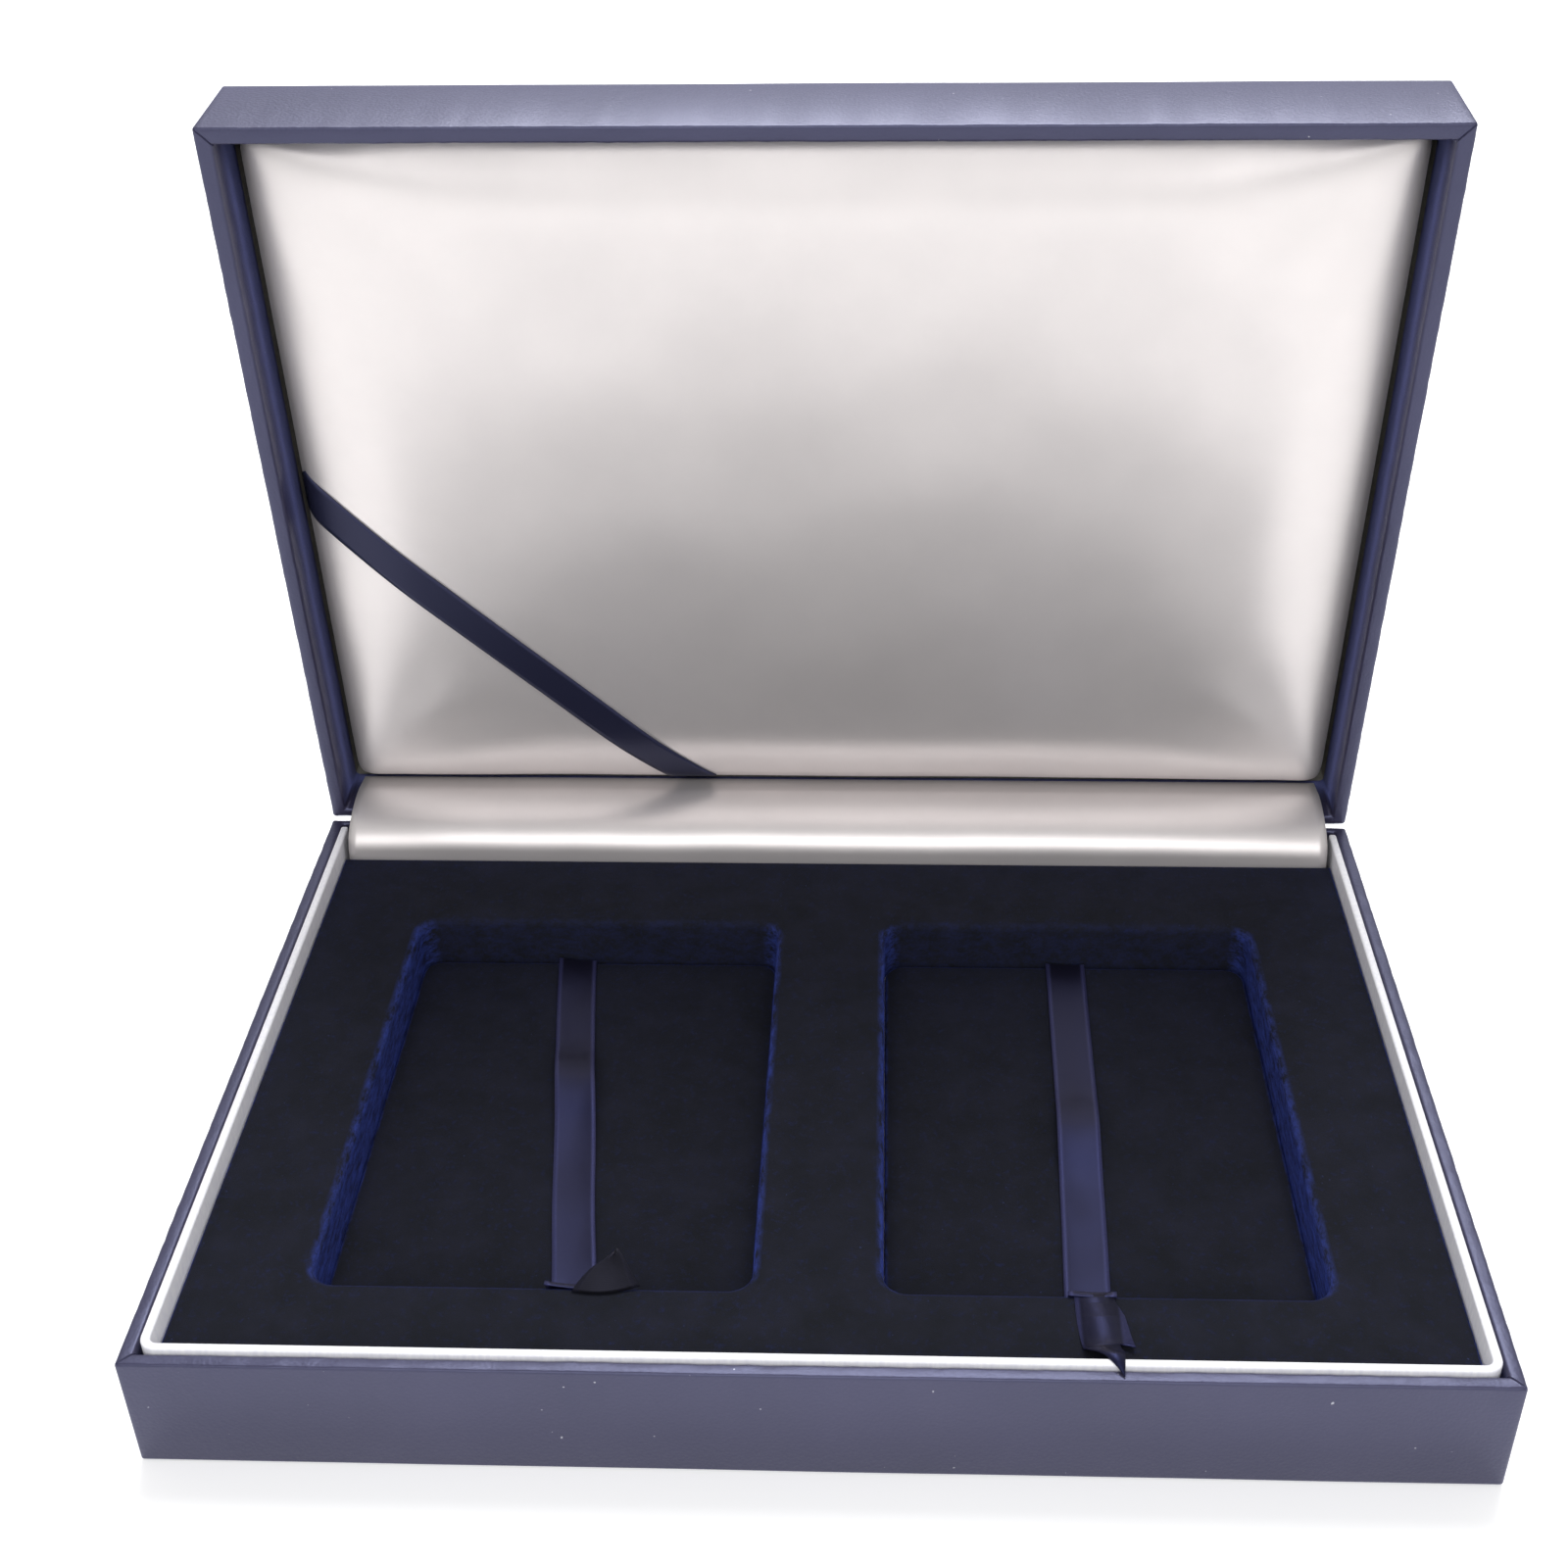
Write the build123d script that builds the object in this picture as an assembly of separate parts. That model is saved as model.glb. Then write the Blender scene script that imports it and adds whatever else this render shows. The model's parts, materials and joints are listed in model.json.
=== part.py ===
from build123d import *
import os
from math import atan2, cos, degrees, radians, sin, sqrt

# A hinged presentation box for two graded coin slabs, standing open.
# Units are millimetres. The origin is the centre of the base's underside,
# +X is to the right, +Y to the back (the hinge) and +Z up.
# Both halves are drawn as trays with the rim at z = 0 and the floor below it.
# The base tray is lifted to its height, and the lid tray is turned over and swung open.

# Outside of the two halves
box_width = 190.0
box_depth = 133.0
base_height = 20.0
lid_height = 18.4
rim_gap = 0.7
open_angle = 85.0

# Boards and the leatherette over them
wrap_thick = 0.5
base_wall_board = 1.4
lid_wall_board = 1.9
panel_board = 2.4
corner_radius = 0.8
edge_break = 0.3
base_turn_in = 10.0
lid_turn_in = 11.0
underside_margin = 12.0
sheet_gap = 0.2

# White card collar inside the front and side walls of the base
collar_thick = 1.6
collar_gap = 0.1
collar_proud = 0.4
collar_corner_radius = 2.5
collar_back_gap = 1.6

# Velvet insert with two slab recesses
velvet_drop = 3.15
velvet_thick = 0.5
velvet_edge_radius = 1.4
insert_gap = 0.1
insert_back_space = 9.5
floor_card_thick = 1.45
recess_width = 63.5
recess_length = 86.0
recess_depth = 8.0
recess_centre = 41.2
recess_front = 18.7
recess_corner_radius = 3.5
floor_card_gap = 0.15
floor_velvet_side = 0.4

# Satin pull ribbons
ribbon_thick = 0.2
ribbon_width = 6.8
ribbon_slot = 1.5
ribbon_stand_off = 0.5
ribbon_anchor = 18.0
ribbon_hump = 1.6
ribbon_hump_length = 26.0
ribbon_bend = 0.3
ribbon_lie = 0.05
left_ribbon_back_x = -45.3
left_ribbon_front_x = -35.6
left_ribbon_hump_y = 67.0
left_tail_foot = 9.4
left_tail_rise = 4.2
left_tail_lean = 4.6
left_tail_shift = 5.2
right_ribbon_back_x = 41.3
right_ribbon_front_x = 39.0
right_ribbon_hump_y = 55.0
right_tail_reach = 8.8
right_tail_tip = 0.9
right_tail_notch = 1.6
right_tail_shift = 1.1

# Concealed hinges in the back walls
hinge_inset = 1.1
hinge_spread = 104.0
hinge_width = 18.0
knuckle_middle = 6.0
knuckle_gap = 0.3
knuckle_radius = 0.85
pin_radius = 0.45
pin_play = 0.04
leaf_thick = 0.4
leaf_height = 11.0
leaf_offset = 0.75
leaf_room = 0.1
rivet_radius = 0.7
rivet_spread = 11.0
rivet_drop = 7.0

# Bowed flat springs across the hinge line
spring_thick = 0.4
spring_width = 8.0
spring_foot_low = 9.5
spring_foot_top = 5.5
spring_lid_near = 2.5
spring_lid_far = 7.0
spring_lid_gap = 0.3
spring_bow = 4.5

# Satin strip that covers the hinges
strip_thick = 0.5
strip_side_gap = 0.6
strip_root = 9.0
strip_bow = 2.6
strip_seam_depth = 4.5
strip_seam_in = 2.1
strip_end_depth = 10.0
strip_end_in = 1.4

# Padded satin panel in the lid
pad_side_gap = 0.5
pad_front_gap = 0.3
pad_back_gap = 2.8
pad_card_thick = 1.5
pad_edge_depth = 9.5
pad_shoulder_depth = 6.6
pad_crown_depth = 4.6
pad_round_in = 3.2
satin_thick = 0.4

# Diagonal ribbon that holds a certificate against the panel
certificate_width = 6.2
certificate_thick = 0.25
certificate_side_reach = 67.0
certificate_seam_reach = 65.6

# Derived places
half_width = box_width / 2
half_depth = box_depth / 2
base_wall = 2 * wrap_thick + base_wall_board
lid_wall = 2 * wrap_thick + lid_wall_board
base_floor = -base_height + wrap_thick + panel_board
lid_floor = -lid_height + wrap_thick + panel_board
pivot_y = half_depth - hinge_inset
pivot_z = base_height + rim_gap / 2
hinge_axis = Axis((0, pivot_y, pivot_z), (1, 0, 0))
hinge_places = (-hinge_spread / 2, hinge_spread / 2)
velvet_top = base_height - velvet_drop
recess_floor = velvet_top - recess_depth
insert_bottom = recess_floor - velvet_thick - floor_card_thick
insert_half = half_width - base_wall - collar_gap - collar_thick - insert_gap
insert_front = -half_depth + base_wall + collar_gap + collar_thick + insert_gap
insert_back = half_depth - insert_back_space
recess_low = -half_depth + recess_front
recess_high = recess_low + recess_length
spill = 1.0


def block(x_low, x_high, y_low, y_high, z_low, z_high):
    """A box between two corners."""
    middle = ((x_low + x_high) / 2, (y_low + y_high) / 2, (z_low + z_high) / 2)
    return Pos(*middle) * Box(x_high - x_low, y_high - y_low, z_high - z_low)


def side_prism(outline, x_low, x_high):
    """A face drawn in (y, z) and drawn out along X."""
    placed = Plane.YZ * outline
    return extrude(Pos(x_low, 0, 0) * placed, x_high - x_low, dir=(1, 0, 0))


def rod_along_x(x_low, x_high, y, z, radius):
    """A round rod along X."""
    middle = Pos((x_low + x_high) / 2, y, z) * Rot(0, 90, 0)
    return middle * Cylinder(radius, x_high - x_low)


def bent_strip(points, radii, thick, x_low, x_high):
    """A flat strip that follows rounded corners in (y, z), with its thickness on the right."""
    route = FilletPolyline(*points, radius=radii)
    band = Wire(route.edges()).offset_2d(thick, kind=Kind.INTERSECTION, side=Side.RIGHT)
    return side_prism(Face(band), x_low, x_high)


def one_solid(shape):
    """The single solid that an operation left."""
    return max(shape.solids(), key=lambda piece: piece.volume)


def to_base(shape):
    """Lift a tray shape to where the base stands."""
    return Pos(0, 0, base_height) * shape


def to_lid(shape):
    """Turn a tray shape over onto the base and swing it open about the hinge."""
    shut = Pos(0, 0, base_height + rim_gap) * mirror(shape, about=Plane.XY)
    return shut.rotate(hinge_axis, -open_angle)


def lid_point(y, depth):
    """Where a point inside the lid tray lies in (y, z) with the lid open."""
    along = y - pivot_y
    above = depth + rim_gap / 2
    turn = radians(open_angle)
    return (
        pivot_y + along * cos(turn) + above * sin(turn),
        pivot_z - along * sin(turn) + above * cos(turn),
    )


def save(shape, node):
    """Write one piece to its own file."""
    shape.label = node
    export_step(shape, f"parts/{node}.step")


def tray_outside(height, inset):
    """The outside of one half moved in by an inset, with its back rim bevelled at the hinge."""
    body = block(
        -half_width + inset, half_width - inset,
        -half_depth + inset, half_depth - inset,
        -height + inset, -inset,
    )
    if inset == 0:
        body = fillet(body.edges().filter_by(Axis.Z), corner_radius)
        levels = body.edges().group_by(Axis.Z)
        body = chamfer(levels[0] + levels[-1], edge_break)
    drop = inset * sqrt(2)
    run = hinge_inset + spill
    bevel = Polyline(
        (pivot_y - spill, spill - drop),
        (pivot_y + run, -run - drop),
        (pivot_y + run, spill - drop + spill),
        (pivot_y - spill, spill - drop + spill),
        close=True,
    )
    return body - side_prism(make_face(bevel), -half_width - spill, half_width + spill)


def tray_well(inset, floor, top):
    """The room inside a tray, an inset in from its outside."""
    return block(
        -half_width + inset, half_width - inset,
        -half_depth + inset, half_depth - inset,
        floor, top,
    )


def hinge_room(x, wall):
    """Room in one half for a hinge: the slot that its knuckles turn in, and the pocket of its leaf."""
    half = hinge_width / 2 + knuckle_gap
    swept = knuckle_radius + knuckle_gap
    slot = block(x - half, x + half, pivot_y - swept, pivot_y + swept + spill, rim_gap / 2 - swept, spill)
    inner_face = half_depth - wall + wrap_thick
    leaf_face = pivot_y - leaf_offset + leaf_thick
    pocket = block(
        x - hinge_width / 2 - leaf_room, x + hinge_width / 2 + leaf_room,
        inner_face, leaf_face + leaf_room,
        -leaf_height - leaf_room, -wrap_thick,
    )
    return slot + pocket


def hinge_leaf(x, outer_knuckles):
    """A steel leaf with its rolled knuckles: two outer ones on the base, one middle one on the lid."""
    half = hinge_width / 2
    near = pivot_y - leaf_offset
    leaf = block(x - half, x + half, near, near + leaf_thick, -leaf_height, rim_gap / 2)
    middle = knuckle_middle / 2
    swept = knuckle_radius + knuckle_gap
    outer_spans = [(x - half, x - middle - knuckle_gap), (x + middle + knuckle_gap, x + half)]
    inner_span = [(x - middle, x + middle)]
    own, other = (outer_spans, inner_span) if outer_knuckles else (inner_span, outer_spans)
    for low, high in other:
        start = low - knuckle_gap if low > x - half else low - spill
        end = high + knuckle_gap if high < x + half else high + spill
        leaf -= block(start, end, near - spill, near + spill, rim_gap / 2 - swept, rim_gap)
    for low, high in own:
        leaf += rod_along_x(low, high, pivot_y, rim_gap / 2, knuckle_radius)
    play = 0 if outer_knuckles else pin_play
    leaf -= rod_along_x(x - half - spill, x + half + spill, pivot_y, rim_gap / 2, pin_radius + play)
    for side in (-1, 1):
        leaf -= rivet(x + side * rivet_spread / 2, near - spill)
    return leaf


def rivet(x, inner_y):
    """A flush rivet through a leaf and the board behind it."""
    length = half_depth - wrap_thick - inner_y
    return Pos(x, inner_y + length / 2, -rivet_drop) * Rot(90, 0, 0) * Cylinder(rivet_radius, length)


def make_half(prefix, height, wall_board, turn_in, floor, place):
    """The five boards and the leatherette of one half."""
    is_base = prefix == "base"
    wall = 2 * wrap_thick + wall_board
    board_inside = wrap_thick + wall_board
    boards = tray_outside(height, wrap_thick) - tray_well(board_inside, floor, spill)
    wrap = tray_outside(height, 0) - boards
    wrap -= tray_well(wall, floor, spill)
    wrap -= tray_well(board_inside, floor, -turn_in)
    if is_base:
        wrap -= block(
            -half_width + underside_margin, half_width - underside_margin,
            -half_depth + underside_margin, half_depth - underside_margin,
            -height - spill, -height + wrap_thick,
        )
    rivets = []
    for x in hinge_places:
        boards -= hinge_room(x, wall)
        wrap -= hinge_room(x, wall)
        for side in (-1, 1):
            pin = rivet(x + side * rivet_spread / 2, pivot_y - leaf_offset)
            boards -= pin
            rivets.append(place(pin))
    save(Compound(children=rivets), f"{prefix}_hinge_rivets")
    save(place(one_solid(wrap)), f"{prefix}_leatherette")

    x_out = half_width
    y_out = half_depth
    x_in = half_width - board_inside
    y_in = half_depth - board_inside
    panel_name = "base_bottom_board" if is_base else "lid_top_board"
    cuts = {
        panel_name: (-x_out, x_out, -y_out, y_out, -height, floor),
        f"{prefix}_front_board": (-x_out, x_out, -y_out, -y_in, floor, spill),
        f"{prefix}_back_board": (-x_out, x_out, y_in, y_out, floor, spill),
        f"{prefix}_left_board": (-x_out, -x_in, -y_in, y_in, floor, spill),
        f"{prefix}_right_board": (x_in, x_out, -y_in, y_in, floor, spill),
    }
    for node, span in cuts.items():
        save(place(one_solid(boards & block(*span))), node)


def make_underside():
    """The lining sheet between the turned-in margins, which the box stands on."""
    inset = underside_margin + sheet_gap
    sheet = block(
        -half_width + inset, half_width - inset,
        -half_depth + inset, half_depth - inset,
        0, wrap_thick,
    )
    save(fillet(sheet.edges().filter_by(Axis.Z), collar_corner_radius), "base_underside_sheet")


def make_collar():
    """One strip of white card bent round the two front corners."""
    outer = base_wall + collar_gap
    top = base_height + collar_proud
    bottom = base_height + base_floor
    back = half_depth - base_wall - collar_back_gap

    def outline(inset, radius, z_low, z_high, y_high):
        plan = block(
            -half_width + inset, half_width - inset,
            -half_depth + inset, y_high,
            z_low, z_high,
        )
        front_corners = plan.edges().filter_by(Axis.Z).group_by(Axis.Y)[0]
        return fillet(front_corners, radius)

    collar = outline(outer, collar_corner_radius, bottom, top, back)
    inner_radius = collar_corner_radius - collar_thick
    collar -= outline(outer + collar_thick, inner_radius, bottom - spill, top + spill, back + spill)
    save(collar, "base_collar")


def windows(grow, z_low, z_high):
    """The two rounded slab windows, enlarged by a growth all round."""
    pair = []
    for side in (-1, 1):
        plan = block(
            side * recess_centre - recess_width / 2 - grow,
            side * recess_centre + recess_width / 2 + grow,
            recess_low - grow, recess_high + grow,
            z_low, z_high,
        )
        pair.append(fillet(plan.edges().filter_by(Axis.Z), recess_corner_radius + grow))
    return pair


def insert_block(skin, z_low, z_high):
    """The insert's outline, which turns with the collar at its front corners."""
    body = block(
        -insert_half + skin, insert_half - skin,
        insert_front + skin, insert_back - skin,
        z_low, z_high,
    )
    front_corners = body.edges().filter_by(Axis.Z).group_by(Axis.Y)[0]
    return fillet(front_corners, collar_corner_radius - collar_thick)


def platform(skin, soften, edge_size):
    """The insert's block with softened windows, in by the velvet's thickness or at its outside."""
    body = insert_block(skin, insert_bottom, velvet_top - skin)
    for window in windows(skin, insert_bottom - spill, velvet_top + spill):
        body -= window
    top_edges = body.edges().group_by(Axis.Z)[-1]
    outer = insert_half - recess_corner_radius
    window_edges = [
        edge for edge in top_edges
        if abs(edge.center().X) < outer and recess_low - spill < edge.center().Y < recess_high + spill
    ]
    return soften(window_edges, edge_size)


def make_insert():
    """The foam below, the platform core, its velvet and the two dropped-in recess floors."""
    core = platform(velvet_thick, chamfer, velvet_edge_radius - velvet_thick)
    save(core, "insert_core")
    save(platform(0, fillet, velvet_edge_radius) - core, "insert_velvet")

    card_low = recess_low + floor_card_gap
    card_high = recess_high - ribbon_slot
    half = recess_width / 2 - floor_card_gap
    radius = recess_corner_radius - floor_card_gap
    for name, side in (("left", -1), ("right", 1)):
        middle = side * recess_centre
        cover = block(middle - half, middle + half, card_low, card_high, insert_bottom, recess_floor)
        cover = fillet(cover.edges().filter_by(Axis.Z), radius)
        trim = floor_velvet_side
        card = block(
            middle - half + trim, middle + half - trim,
            card_low + trim, card_high - trim,
            insert_bottom, recess_floor - velvet_thick,
        )
        card = fillet(card.edges().filter_by(Axis.Z), radius - trim)
        save(card, f"{name}_floor_card")
        save(cover - card, f"{name}_floor_velvet")

    foam = insert_block(0, base_height + base_floor, insert_bottom)
    for ribbon in (left_ribbon(), right_ribbon()):
        foam -= ribbon
    save(one_solid(foam), "base_floor_foam")


def ribbon_run(back_x, front_x, hump_y):
    """A pull ribbon from its glued end under the floor card, up the slot and along to the front edge."""
    yaw = atan2(back_x - front_x, recess_high - recess_low)
    span = recess_length - ribbon_stand_off - ribbon_thick
    back = recess_low + span / cos(yaw)
    front = recess_low + ribbon_stand_off
    under = insert_bottom
    lie = recess_floor + ribbon_lie
    crest = -half_depth + hump_y
    rise = recess_floor + ribbon_hump
    land = velvet_top + ribbon_lie
    points = [
        (back - ribbon_anchor, under),
        (back, under),
        (back, lie),
        (crest + ribbon_hump_length / 2, lie),
        (crest, rise),
        (crest - ribbon_hump_length / 2, lie),
        (front, lie),
        (front, land),
        (recess_low - ribbon_stand_off, land),
    ]
    gentle = ribbon_hump_length
    radii = [ribbon_bend, ribbon_bend, gentle, gentle, gentle, ribbon_bend, ribbon_bend]
    half = ribbon_width / 2
    band = bent_strip(points, radii, ribbon_thick, -half, half)
    front_place = Pos(front_x, recess_low, 0) * Rot(0, 0, -degrees(yaw))
    return front_place * Pos(0, -recess_low, 0) * band


def left_ribbon():
    """The left pull ribbon, whose end stands up in a pointed fold at the front edge."""
    run = ribbon_run(left_ribbon_back_x, left_ribbon_front_x, left_ribbon_hump_y)
    foot_z = velvet_top + ribbon_lie
    foot_y = recess_low - ribbon_stand_off / 2
    slope = sqrt(left_tail_rise ** 2 + left_tail_lean ** 2)
    fold = make_face(Polyline(
        (-left_tail_foot / 2, 0), (left_tail_foot / 2, 0), (0, slope),
        close=True,
    ))
    lean = degrees(atan2(left_tail_rise, left_tail_lean))
    foot = Pos(left_ribbon_front_x + left_tail_shift, foot_y, foot_z)
    tail = foot * Rot(lean, 0, 0) * extrude(fold, ribbon_thick)
    return one_solid(run + tail)


def right_ribbon():
    """The right pull ribbon, whose cut end lies over the platform, the collar and the rim."""
    run = ribbon_run(right_ribbon_back_x, right_ribbon_front_x, right_ribbon_hump_y)
    land = velvet_top + ribbon_lie
    left = right_ribbon_front_x - ribbon_width / 2 + ribbon_bend
    right = left + ribbon_width
    shift = right_tail_shift
    front = -half_depth
    reach = front + right_tail_reach
    tail = extrude(Pos(0, 0, land) * make_face(Polyline(
        (left, recess_low + ribbon_bend),
        (right - ribbon_bend, recess_low + ribbon_bend),
        (right + shift, recess_low - 2 * ribbon_stand_off),
        (right + shift, reach),
        (right + shift - right_tail_notch, reach + right_tail_notch / 2),
        (left + shift, reach),
        close=True,
    )), ribbon_thick)
    collar_back = front + base_wall + collar_gap + collar_thick
    collar_top = base_height + collar_proud
    lift = collar_top + ribbon_lie
    climb = bent_strip(
        [
            (reach + right_tail_notch, land),
            (reach, land),
            (collar_back, lift),
            (front + right_tail_tip, lift),
        ],
        [ribbon_bend, ribbon_bend],
        ribbon_thick, -box_width, box_width,
    )
    tip = extrude(make_face(Polyline(
        (left + shift, reach + right_tail_notch),
        (left + shift, reach),
        ((left + right) / 2 + shift, front + right_tail_tip),
        (right + shift - right_tail_notch, reach + right_tail_notch / 2),
        (right + shift - right_tail_notch, reach + right_tail_notch),
        close=True,
    )), base_height + lid_height)
    return one_solid(run + tail + (climb & tip))


def make_hinges():
    """Two concealed hinges: leaves, pins, and the bowed springs beside the wall."""
    base_face = half_depth - base_wall
    lid_face = half_depth - lid_wall - spring_lid_gap
    for name, x in zip(("left", "right"), hinge_places):
        save(to_base(hinge_leaf(x, True)), f"{name}_hinge_base_leaf")
        save(to_lid(hinge_leaf(x, False)), f"{name}_hinge_lid_leaf")
        half = hinge_width / 2
        save(rod_along_x(x - half, x + half, pivot_y, pivot_z, pin_radius), f"{name}_hinge_pin")
        save(hinge_spring(x, base_face, lid_face), f"{name}_hinge_spring")


def hinge_spring(x, base_face, lid_face):
    """A flat spring with a foot on each back wall and a bow between them."""
    foot_low = (base_face, base_height - spring_foot_low)
    foot_top = (base_face, base_height - spring_foot_top)
    near = lid_point(lid_face, spring_lid_near)
    far = lid_point(lid_face, spring_lid_far)
    bow = bow_point(foot_top, near, spring_bow)
    route = Wire([
        Edge.make_line(foot_low, foot_top),
        Edge.make_three_point_arc(foot_top, bow, near),
        Edge.make_line(near, far),
    ])
    band = route.offset_2d(spring_thick, kind=Kind.INTERSECTION, side=Side.LEFT)
    return side_prism(Face(band), x - spring_width / 2, x + spring_width / 2)


def bow_point(start, end, bow):
    """The middle of an arc that bows to the left of the line from start to end."""
    run = end[0] - start[0]
    rise = end[1] - start[1]
    length = sqrt(run ** 2 + rise ** 2)
    return (
        (start[0] + end[0]) / 2 - bow * rise / length,
        (start[1] + end[1]) / 2 + bow * run / length,
    )


def make_strip():
    """The satin strip from behind the insert, over the hinges, to behind the lid's padded panel."""
    root_y = insert_back + insert_gap
    root = (root_y, velvet_top - strip_root)
    lip = (root_y, velvet_top)
    seam = lid_point(half_depth - lid_wall - strip_seam_in, strip_seam_depth)
    end = lid_point(half_depth - lid_wall - strip_end_in, strip_end_depth)
    bow = bow_point(lip, seam, strip_bow)
    route = Wire([
        Edge.make_line(root, lip),
        Edge.make_three_point_arc(lip, bow, seam),
        Edge.make_line(seam, end),
    ])
    band = route.offset_2d(strip_thick, kind=Kind.INTERSECTION, side=Side.RIGHT)
    half = insert_half - strip_side_gap
    save(side_prism(Face(band), -half, half), "hinge_satin_strip")


def arched_profile(low, high, seat, grow):
    """The side view of the padded panel, rounded at both edges and crowned between them."""
    edge = -pad_edge_depth
    shoulder = -pad_shoulder_depth + grow
    crown = -pad_crown_depth + grow
    low -= grow
    high += grow
    lean = 1 - sqrt(0.5)
    round_in = lean * pad_round_in
    round_height = shoulder - lean * (shoulder - edge)
    first = (low + pad_round_in, shoulder)
    last = (high - pad_round_in, shoulder)
    return make_face([
        Line((low, seat), (low, edge)),
        ThreePointArc((low, edge), (low + round_in, round_height), first),
        ThreePointArc(first, ((low + high) / 2, crown), last),
        ThreePointArc(last, (high - round_in, round_height), (high, edge)),
        Line((high, edge), (high, seat)),
        Line((high, seat), (low, seat)),
    ])


def pad_form(grow, seat):
    """The padded panel's body in the lid tray, grown or shrunk all round."""
    x_half = half_width - lid_wall - pad_side_gap
    y_low = -half_depth + lid_wall + pad_front_gap
    y_high = half_depth - lid_wall - pad_back_gap
    reach = box_width
    across = side_prism(arched_profile(y_low, y_high, seat, grow), -reach, reach)
    along = extrude(Plane.XZ * arched_profile(-x_half, x_half, seat, grow), reach, both=True)
    return across & along


def make_pad():
    """Card, foam and satin of the lid's panel, and the diagonal ribbon over it."""
    seat = lid_floor
    card_top = seat + pad_card_thick
    whole = pad_form(0, seat)
    filling = pad_form(-satin_thick, seat)
    card = filling & tray_well(0, seat, card_top)
    foam = filling & tray_well(0, card_top, 0)
    save(to_lid(one_solid(card)), "lid_pad_card")
    save(to_lid(one_solid(foam)), "lid_pad_foam")
    save(to_lid(one_solid(whole - filling)), "lid_pad_satin")

    side = (-half_width + lid_wall, pivot_y - certificate_side_reach)
    seam = (-half_width + lid_wall + certificate_seam_reach, half_depth - lid_wall - pad_back_gap)
    run = seam[0] - side[0]
    rise = seam[1] - side[1]
    middle = Pos((side[0] + seam[0]) / 2, (side[1] + seam[1]) / 2, seat / 2)
    turn = Rot(0, 0, degrees(atan2(rise, run)))
    length = 2 * sqrt(run ** 2 + rise ** 2)
    footprint = middle * turn * Box(length, certificate_width, -seat)
    skin = (pad_form(certificate_thick, seat) - whole) & footprint
    save(to_lid(one_solid(skin)), "certificate_ribbon")


os.makedirs("parts", exist_ok=True)
make_half("base", base_height, base_wall_board, base_turn_in, base_floor, to_base)
make_half("lid", lid_height, lid_wall_board, lid_turn_in, lid_floor, to_lid)
make_underside()
make_collar()
make_insert()
save(left_ribbon(), "left_pull_ribbon")
save(right_ribbon(), "right_pull_ribbon")
make_hinges()
make_strip()
make_pad()
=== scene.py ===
import json
import math

import bmesh
import bpy
from mathutils import Matrix, Vector, noise
from mathutils.bvhtree import BVHTree

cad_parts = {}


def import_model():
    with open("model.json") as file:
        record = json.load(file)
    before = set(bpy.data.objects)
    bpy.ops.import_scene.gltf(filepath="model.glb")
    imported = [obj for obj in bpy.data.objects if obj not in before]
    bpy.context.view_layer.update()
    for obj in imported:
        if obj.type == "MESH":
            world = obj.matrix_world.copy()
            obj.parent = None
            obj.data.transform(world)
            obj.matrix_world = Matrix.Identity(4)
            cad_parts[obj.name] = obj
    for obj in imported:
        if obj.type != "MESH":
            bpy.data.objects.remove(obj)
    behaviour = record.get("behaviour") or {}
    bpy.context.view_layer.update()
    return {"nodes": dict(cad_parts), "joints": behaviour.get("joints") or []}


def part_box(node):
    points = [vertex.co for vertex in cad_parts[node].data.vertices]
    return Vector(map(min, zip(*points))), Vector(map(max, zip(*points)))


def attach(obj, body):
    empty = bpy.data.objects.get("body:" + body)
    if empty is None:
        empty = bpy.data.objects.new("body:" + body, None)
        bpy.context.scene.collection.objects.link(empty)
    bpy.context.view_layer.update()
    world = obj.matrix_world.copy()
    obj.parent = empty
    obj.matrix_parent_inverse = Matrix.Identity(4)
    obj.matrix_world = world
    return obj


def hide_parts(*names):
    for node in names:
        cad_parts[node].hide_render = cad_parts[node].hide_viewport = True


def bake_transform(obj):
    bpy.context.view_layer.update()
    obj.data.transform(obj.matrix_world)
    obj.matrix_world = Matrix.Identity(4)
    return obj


# The coin slab display box, dressed: leatherette, white collar, velvet insert,
# pull ribbons, satin panel and strip. Lengths are in metres, in the frame's own axes.

MM = 0.001

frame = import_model()
hinge = frame["joints"][0]
PIVOT = Vector(hinge["pos_m"])
OPEN_ANGLE = math.radians(hinge["range_deg"][1])

# Places read from the frame
base_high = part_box("base_leatherette")[1]
collar_low, collar_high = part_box("base_collar")
velvet_low, velvet_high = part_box("insert_velvet")
floor_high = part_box("left_floor_velvet")[1]
strip_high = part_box("hinge_satin_strip")[1]
HALF_WIDTH = base_high.x
HALF_DEPTH = base_high.y
BASE_HEIGHT = base_high.z
RIM_GAP = 2 * (PIVOT.z - BASE_HEIGHT)
VELVET_TOP = velvet_high.z
RECESS_FLOOR = floor_high.z

# The wrapped halves
LID_HEIGHT = 18.4 * MM
BASE_WALL = 2.4 * MM
LID_WALL = 2.9 * MM
WRAP = 0.4 * MM
BASE_TURN_IN = 10 * MM
LID_TURN_IN = 11 * MM
UNDERSIDE_MARGIN = 12 * MM
EDGE_ROUND = 0.6 * MM
MITRE_WIDTH = 0.25 * MM
MITRE_DEPTH = 0.2 * MM
MITRE_REACH = 6 * MM
MITRE_LOW = -1.2 * MM
MITRE_HALF_WIDTH = 0.9 * MITRE_WIDTH
GATHER_STEP = 1.3 * MM
RIPPLE = 0.09 * MM
RIPPLE_DOWN = 4 * MM
RIPPLE_LENGTH = 2.1 * MM
WAVE = 0.06 * MM
WAVE_LENGTH = 24 * MM
MERGE = 0.02 * MM
HINGE_SPREAD = 104 * MM
HINGE_SLOT = 18.6 * MM
KNUCKLE_ROOM = 1.15 * MM

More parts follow.
